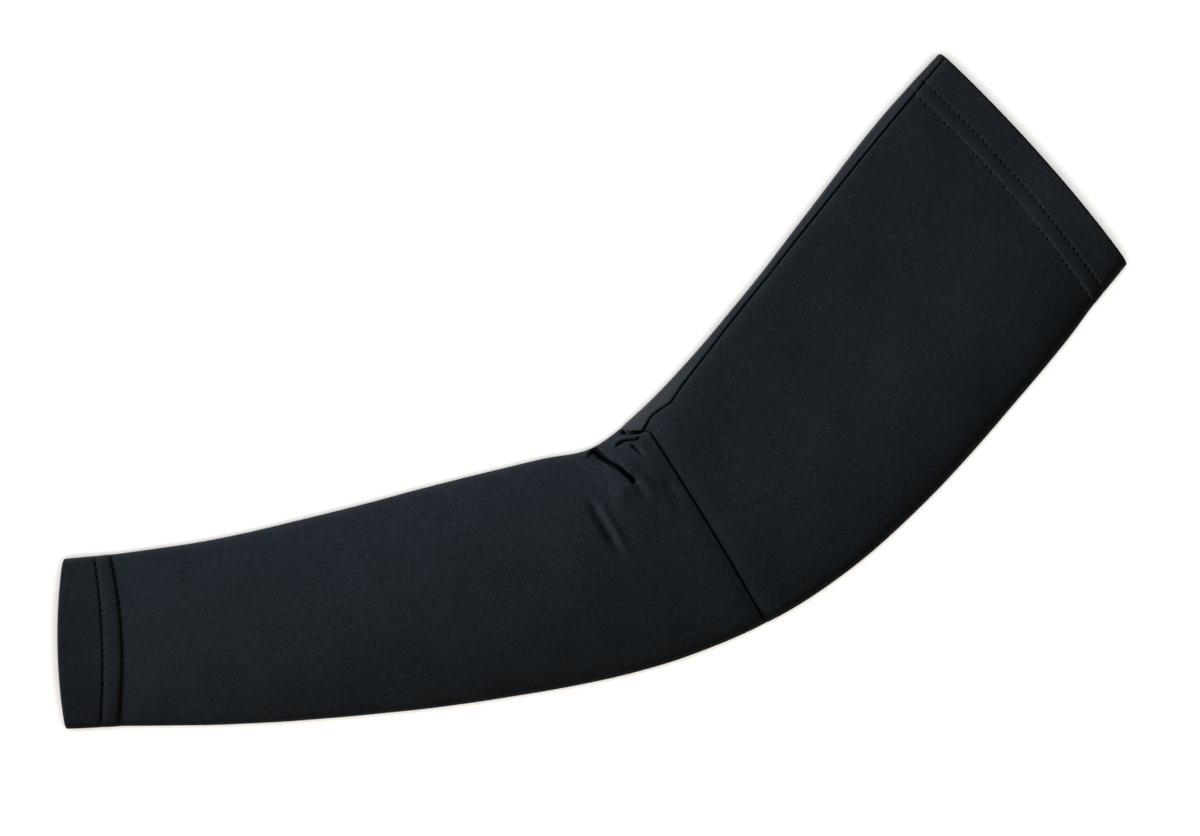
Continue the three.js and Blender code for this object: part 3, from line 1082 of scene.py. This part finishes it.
def stitching(name, rows, tree):
    """The stitches of some rows, as one plain mesh."""
    points = np.concatenate([line for line, _ in rows])
    normals = np.concatenate([normal for _, normal in rows])
    edges, counts, first = [], [], 0
    for line, _ in rows:
        size = len(line)
        edges += [(first + k, first + (k + 1) % size) for k in range(size)]
        counts += [int(round(run_round(line)[-1] / STITCH_PITCH))] * size
        first += size
    mesh = bpy.data.meshes.new(name + "_line")
    mesh.from_pydata(((points + shift) * MM).tolist(), edges, [])
    upright = mesh.attributes.new("cloth_normal", "FLOAT_VECTOR", "POINT")
    upright.data.foreach_set("vector", normals.ravel())
    mesh.attributes.new("stitches", "INT", "POINT").data.foreach_set("value", counts)
    lines = bpy.data.objects.new(name + "_line", mesh)
    bpy.context.collection.objects.link(lines)
    modifier = lines.modifiers.new("stitches", "NODES")
    modifier.node_group = tree
    modifier[tree.interface.items_tree["Thread"].identifier] = thread
    evaluated = lines.evaluated_get(bpy.context.evaluated_depsgraph_get())
    stitches = bpy.data.meshes.new_from_object(evaluated)
    stitches.name = name
    stitches.shade_smooth()
    bpy.data.objects.remove(lines)
    obj = bpy.data.objects.new(name, stitches)
    bpy.context.collection.objects.link(obj)
    return obj


# The pieces
forearm = forearm_sleeve()
upper_arm = upper_arm_sleeve()
wrist_band, wrist_rows = hem_band(
    "wrist_hem_band",
    place("wrist hem"),
    place("wrist edge"),
    WRIST_EDGE_ROW,
    WRIST_WAVES,
    closed_here=False,
)
upper_band, upper_rows = hem_band(
    "upper_hem_band",
    place("upper hem"),
    place("upper edge"),
    UPPER_EDGE_ROW,
    UPPER_WAVES,
    closed_here=True,
)
stitches = stitch_tree()
wrist_stitching = stitching("wrist_stitching", wrist_rows, stitches)
upper_stitching = stitching("upper_stitching", upper_rows, stitches)
pieces = [forearm, upper_arm, wrist_band, upper_band, wrist_stitching, upper_stitching]

# Floor, light and camera, in metres where nothing else is said
FLOOR_SIZE = 6.0
reach = FLOOR_SIZE / 2
floor_mesh = bpy.data.meshes.new("paper_floor")
floor_mesh.from_pydata(
    [(-reach, -reach, 0), (reach, -reach, 0), (reach, reach, 0), (-reach, reach, 0)], [], [(0, 1, 2, 3)]
)
floor_mesh.materials.append(paper_sweep())
floor = bpy.data.objects.new("paper_floor", floor_mesh)
bpy.context.collection.objects.link(floor)

# The picture is 1200 by 836; its way right and its way up lie in the floor, because it is taken from above.
IMAGE_WIDTH, IMAGE_HEIGHT = 1200, 836
PIXEL = 0.415  # of the picture, in millimetres at the height of the sleeve's side folds
ROLL = radians(27)
ELBOW_PIXEL = (702.5, 517.5)  # where the middle of the elbow seam shows
CAMERA_HEIGHT = 3.0
SENSOR_WIDTH = 36  # millimetres
picture_right = np.array([cos(ROLL), -sin(ROLL)])
picture_up = np.array([sin(ROLL), cos(ROLL)])

# Light from the room all round, weak and warm
world = bpy.data.worlds.new("studio")
world.use_nodes = True
room_light = world.node_tree.nodes["Background"].inputs
room_light["Color"].default_value = (1.0, 0.86, 0.72, 1)
room_light["Strength"].default_value = 0.17
bpy.context.scene.world = world
bpy.context.scene.view_settings.view_transform = "Standard"


def softbox(name, position, size, power, colour):
    """A square light facing the sleeve."""
    light = bpy.data.lights.new(name, "AREA")
    light.size = size
    light.energy = power
    light.color = colour
    lamp = bpy.data.objects.new(name, light)
    lamp.location = position
    lamp.rotation_euler = (-Vector(position)).to_track_quat("-Z", "Y").to_euler()
    bpy.context.collection.objects.link(lamp)
    return lamp


def lights_only(lamp, objects):
    """Keeps a light off everything else."""
    lit = bpy.data.collections.new(lamp.name + "_lights")
    for obj in objects:
        lit.objects.link(obj)
    lamp.light_linking.receiver_collection = lit


# The key stands to the picture's left and a little above it, low enough to rake over the folds.
# It is kept off the paper, which has a light of its own, so that the paper stays evenly white.
KEY_FROM_UP = radians(72)
KEY_HEIGHT = radians(22)
KEY_AWAY = 8.0
key_way = picture_up * cos(KEY_FROM_UP) - picture_right * sin(KEY_FROM_UP)
key_spot = (*(key_way * KEY_AWAY * cos(KEY_HEIGHT)), KEY_AWAY * sin(KEY_HEIGHT))
key = softbox("key_softbox", key_spot, size=2.2, power=1740, colour=(0.96, 1.0, 1.05))
lights_only(key, pieces)
paper_light = softbox("paper_softbox", (0, 0, 4), size=3, power=205, colour=(1, 1, 1))
lights_only(paper_light, [floor])

# A weak warm light from below the picture keeps the lower edges from going blue.
FILL_AWAY = 1.6
FILL_HEIGHT = 0.8
fill_spot = (*(-picture_up * FILL_AWAY), FILL_HEIGHT)
softbox("fill_softbox", fill_spot, size=1.2, power=7, colour=(1.0, 0.64, 0.36))

# The camera looks straight down on the middle of the picture.
aim = shift[:2] + PIXEL * (
    picture_right * (IMAGE_WIDTH / 2 - ELBOW_PIXEL[0]) + picture_up * (ELBOW_PIXEL[1] - IMAGE_HEIGHT / 2)
)
camera_data = bpy.data.cameras.new("camera")
camera_data.sensor_width = SENSOR_WIDTH
camera_data.lens = SENSOR_WIDTH * (CAMERA_HEIGHT - FOLD_MIDDLE * MM) / (IMAGE_WIDTH * PIXEL * MM)
camera = bpy.data.objects.new("camera", camera_data)
camera.location = (aim[0] * MM, aim[1] * MM, CAMERA_HEIGHT)
camera.rotation_euler = (0, 0, -ROLL)
bpy.context.collection.objects.link(camera)
bpy.context.scene.camera = camera

# What rides on what
for piece in pieces:
    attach(piece, "root")
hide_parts("forearm_panel")
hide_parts("upper_arm_panel")
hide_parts("wrist_hem")
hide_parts("upper_hem")
